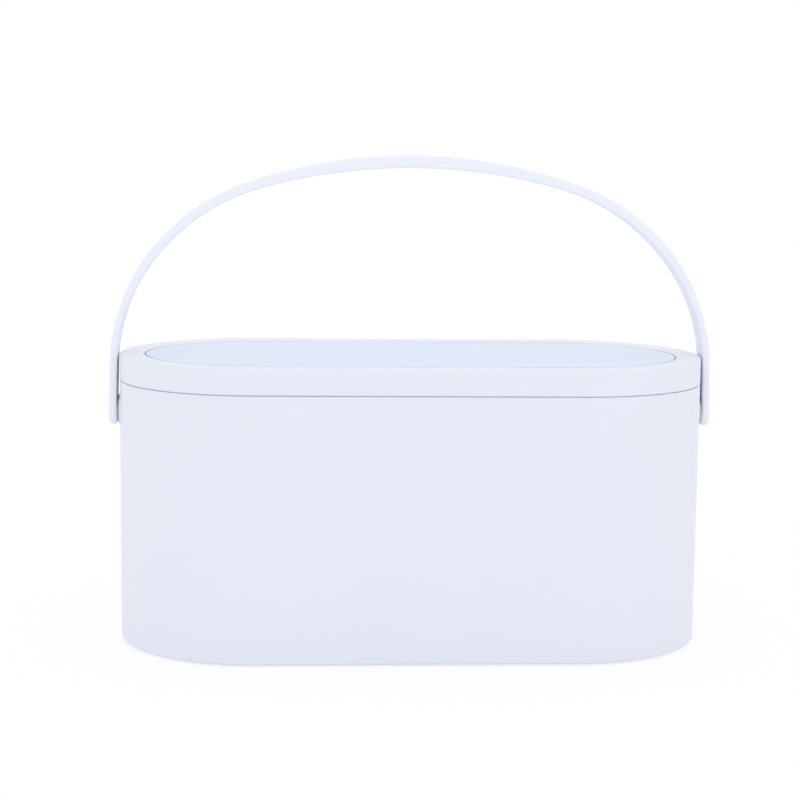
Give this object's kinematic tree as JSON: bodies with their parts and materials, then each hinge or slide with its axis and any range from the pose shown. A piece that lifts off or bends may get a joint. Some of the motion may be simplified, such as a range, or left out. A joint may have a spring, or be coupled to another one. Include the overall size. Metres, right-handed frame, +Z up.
{
  "type": "makeup storage box with mirror",
  "caption": "Stadium-plan cosmetics case with a lift-off lid holding a lit mirror underneath, loose dividers inside, rubber feet and an arched swing handle.",
  "frame": {"origin": "on the standing surface, below the middle of the case", "axes": "+X along the length to the right as seen from the front, +Y to the back, +Z up"},
  "size_m": [0.2968, 0.131, 0.2382],
  "materials": {
    "shell_white": "fine satin moulded surface, cool white",
    "panel_white": "smoother satin surface, slightly bluer white",
    "handle_white": "satin moulded surface, cool white",
    "carrier_white": "satin white",
    "mirror": "silvered float glass",
    "diffuser": "milky frosted plastic",
    "strip": "white coated flat circuit",
    "led": "phosphor yellow lens",
    "cell_foil": "matt foil pouch",
    "lead_sleeve": "soft coloured sleeve",
    "solder": "tinned wire",
    "board": "green coated board",
    "steel": "plain zinc-plated steel",
    "copper": "bare copper disc",
    "magnet": "nickel-plated",
    "foot_rubber": "soft pale rubber",
    "ring_rubber": "soft grey rubber",
    "bush_plastic": "natural bearing plastic"
  },
  "bodies": {
    "case": {"case_shell": "shell_white", "case_magnet_left": "magnet", "case_magnet_right": "magnet", "foot_front_left": "foot_rubber", "foot_front_right": "foot_rubber", "foot_rear_left": "foot_rubber", "foot_rear_right": "foot_rubber", "friction_ring_left": "ring_rubber", "friction_ring_right": "ring_rubber", "pivot_bush_left": "bush_plastic", "pivot_bush_right": "bush_plastic"},
    "lid": {"lid_frame": "shell_white", "lid_top_panel": "panel_white", "mirror_carrier": "carrier_white", "mirror_glass": "mirror", "light_ring": "diffuser", "led_strip": "strip", "led_chips": "led", "led_leads": "solder", "battery_cell": "cell_foil", "battery_leads": "lead_sleeve", "control_board": "board", "charging_socket": "steel", "touch_electrode": "copper", "touch_lead": "lead_sleeve", "carrier_screws": "steel", "lid_magnet_left": "magnet", "lid_magnet_right": "magnet"},
    "handle": {"handle": "handle_white", "pivot_washer_left": "steel", "pivot_washer_right": "steel", "pivot_screw_left": "steel", "pivot_screw_right": "steel"},
    "left_divider": {"divider_left": "shell_white"},
    "right_divider": {"divider_right": "shell_white"}
  },
  "joints": [
    {"name": "handle_swing", "type": "hinge", "parent": "case", "child": "handle", "pos_m": [0, 0, 0.1132], "axis": [1, 0, 0], "range_deg": [-128, 128]},
    {"name": "lid_draw", "type": "slide", "parent": "case", "child": "lid", "axis": [0, -0.9848, 0.1736], "range_m": [0, 0.16]},
    {"name": "left_divider_lift", "type": "slide", "parent": "case", "child": "left_divider", "axis": [0, 0, 1], "range_m": [0, 0.024]},
    {"name": "right_divider_lift", "type": "slide", "parent": "case", "child": "right_divider", "axis": [0, 0, 1], "range_m": [0, 0.024]}
  ]
}
